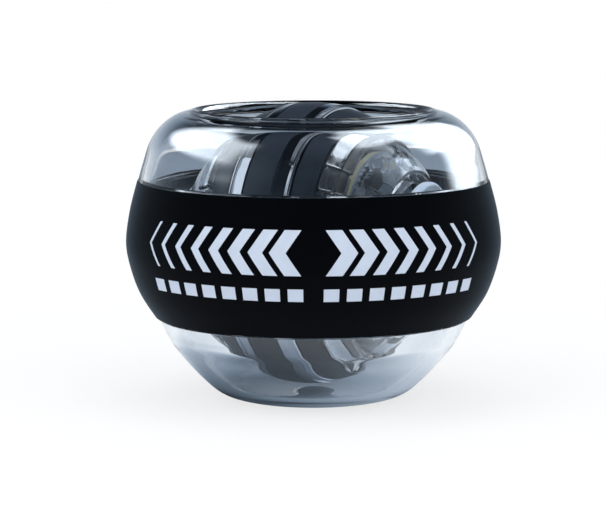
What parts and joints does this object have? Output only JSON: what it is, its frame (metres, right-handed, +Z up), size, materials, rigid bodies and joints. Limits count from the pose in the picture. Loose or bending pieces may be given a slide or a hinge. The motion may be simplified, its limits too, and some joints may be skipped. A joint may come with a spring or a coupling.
{
  "type": "gyroscopic wrist ball",
  "caption": "Hand-held gyroscope exerciser: a flywheel rotor on an axle that rolls in a groove inside a clear case with an open top and a black grip band",
  "frame": {"origin": "middle of the flat base that the ball stands on", "axes": "+Z up, from the base to the open top; X along the rotor's axle at rest, with the lamp board's end at +X"},
  "size_m": [0.07, 0.07, 0.0552],
  "materials": {
    "clear_plastic": "gloss",
    "black_silicone": "matte",
    "black_plastic": "satin",
    "dark_plastic": "satin",
    "grey_plastic": "satin",
    "plated_metal": "polished",
    "steel": "satin",
    "brass": "satin",
    "copper": "satin",
    "magnet": "satin",
    "board": "satin",
    "lamp": "gloss",
    "chip": "satin"
  },
  "bodies": {
    "case": {"lower_shell": "clear_plastic", "upper_shell": "clear_plastic", "grip_band": "black_silicone", "race_ring_lower": "black_plastic", "race_ring_upper": "black_plastic"},
    "carrier": {"carrier_ring": "steel", "magnet_holder": "grey_plastic", "generator_magnet": "magnet", "axle_bush_right": "brass", "spring_housing": "grey_plastic", "spring_cover": "steel", "axle_bush_left": "brass", "start_spring": "steel"},
    "start_drive": {"start_sleeve": "steel"},
    "rotor": {"axle": "steel", "rotor_core_left": "dark_plastic", "rotor_core_right": "dark_plastic", "flywheel_ring_left": "plated_metal", "flywheel_ring_right": "plated_metal", "rotor_centre_band": "dark_plastic", "retaining_ring_left": "black_plastic", "retaining_ring_right": "black_plastic", "cap_left": "clear_plastic", "cap_right": "clear_plastic", "led_board": "board", "led_1": "lamp", "led_2": "lamp", "led_3": "lamp", "led_4": "lamp", "led_5": "lamp", "led_6": "lamp", "control_chip": "chip", "rectifier": "chip", "capacitor": "brass", "coil_bobbin": "black_plastic", "copper_winding": "copper", "board_screw_1": "steel", "board_screw_2": "steel", "board_screw_3": "steel", "core_bolt_1": "steel", "core_bolt_2": "steel", "core_bolt_3": "steel", "core_nut_1": "steel", "core_nut_2": "steel", "core_nut_3": "steel", "clutch_cup": "steel", "clutch_cage": "brass", "clutch_roller_1": "steel", "clutch_roller_2": "steel", "clutch_roller_3": "steel", "clutch_roller_4": "steel", "clutch_roller_5": "steel", "clutch_roller_6": "steel"}
  },
  "joints": [
    {"name": "carrier_turn", "type": "hinge", "parent": "case", "child": "carrier", "pos_m": [0, 0, 0.0292], "axis": [0, 0, 1], "continuous": true},
    {"name": "rotor_spin", "type": "hinge", "parent": "carrier", "child": "rotor", "pos_m": [0, 0, 0.0292], "axis": [1, 0, 0], "continuous": true},
    {"name": "start_wind", "type": "hinge", "parent": "carrier", "child": "start_drive", "pos_m": [0, 0, 0.0292], "axis": [1, 0, 0], "range_deg": [-720, 0], "stiffness_Nm_per_rad": 0.001, "deforming": ["start_spring"]}
  ]
}
